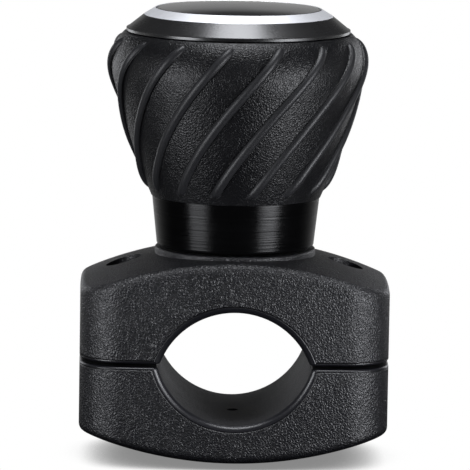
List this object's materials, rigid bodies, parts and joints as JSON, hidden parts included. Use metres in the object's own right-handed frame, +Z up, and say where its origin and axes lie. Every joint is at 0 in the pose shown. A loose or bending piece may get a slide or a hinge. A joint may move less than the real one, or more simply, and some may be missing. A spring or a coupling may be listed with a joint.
{
  "type": "steering wheel spinner knob",
  "caption": "Ribbed rubber turning knob on ball bearings over a split clamp that grips a wheel rim in its lens-shaped opening.",
  "frame": {"origin": "middle of the lens-shaped rim opening, on the spindle's axis", "axes": "+Z up the spindle towards the cap, +Y along the wheel rim through the opening, +X across the clamp's width"},
  "size_m": [0.0622, 0.0523, 0.0918],
  "materials": {
    "clamp_plastic": "moulded black plastic with a leather grain, smooth at the rounded edges",
    "screw_steel": "black oxide steel",
    "nut_steel": "zinc-plated steel",
    "spindle_steel": "turned steel",
    "bearing_steel": "ground bearing steel",
    "ball_steel": "polished bearing steel",
    "cage_nylon": "moulded nylon",
    "shield_steel": "pressed sheet steel",
    "hub_plastic": "moulded black plastic",
    "collar_metal": "gloss black anodised, fine turned lines",
    "grip_rubber": "black rubber with a fine leather grain",
    "bezel_gloss": "gloss black with fine turned lines",
    "trim_chrome": "satin bright ring",
    "cap_gloss": "gloss black dome"
  },
  "bodies": {
    "clamp": {"clamp_upper": "clamp_plastic", "spindle": "spindle_steel", "base_spacer": "nut_steel", "bearing_spacer": "nut_steel", "spindle_washer": "nut_steel", "spindle_nut": "nut_steel", "lower_inner_race": "bearing_steel", "upper_inner_race": "bearing_steel"},
    "lower_jaw": {"clamp_lower": "clamp_plastic", "clamp_nut_left": "nut_steel", "clamp_nut_right": "nut_steel"},
    "left_screw": {"clamp_screw_left": "screw_steel"},
    "right_screw": {"clamp_screw_right": "screw_steel"},
    "knob": {"hub": "hub_plastic", "grip_sleeve": "grip_rubber", "collar": "collar_metal", "bezel": "bezel_gloss", "trim_ring": "trim_chrome", "cap": "cap_gloss", "lower_outer_race": "bearing_steel", "upper_outer_race": "bearing_steel", "lower_shields": "shield_steel", "upper_shields": "shield_steel"},
    "lower_cage_set": {"lower_cage": "cage_nylon", "lower_balls": "ball_steel"},
    "upper_cage_set": {"upper_cage": "cage_nylon", "upper_balls": "ball_steel"}
  },
  "joints": [
    {"name": "knob_spin", "type": "hinge", "parent": "clamp", "child": "knob", "pos_m": [0, 0, 0.0457], "axis": [0, 0, 1], "continuous": true},
    {"name": "lower_cage_spin", "type": "hinge", "parent": "clamp", "child": "lower_cage_set", "pos_m": [0, 0, 0.02728], "axis": [0, 0, 1], "continuous": true},
    {"name": "upper_cage_spin", "type": "hinge", "parent": "clamp", "child": "upper_cage_set", "pos_m": [0, 0, 0.05028], "axis": [0, 0, 1], "continuous": true},
    {"name": "left_screw_turn", "type": "hinge", "parent": "clamp", "child": "left_screw", "pos_m": [-0.02235, 0, 0.0132], "axis": [0, 0, 1], "range_deg": [0, 2880]},
    {"name": "right_screw_turn", "type": "hinge", "parent": "clamp", "child": "right_screw", "pos_m": [0.02235, 0, 0.0132], "axis": [0, 0, 1], "range_deg": [0, 2880]},
    {"name": "jaw_slide", "type": "slide", "parent": "clamp", "child": "lower_jaw", "axis": [0, 0, -1], "range_m": [0, 0.0056]}
  ],
  "couplings": [
    {"joint": "lower_cage_spin", "follows": "knob_spin", "ratio": 0.6323},
    {"joint": "upper_cage_spin", "follows": "knob_spin", "ratio": 0.6323},
    {"joint": "left_screw_turn", "follows": "jaw_slide", "rad_per_m": 8976},
    {"joint": "right_screw_turn", "follows": "jaw_slide", "rad_per_m": 8976}
  ]
}
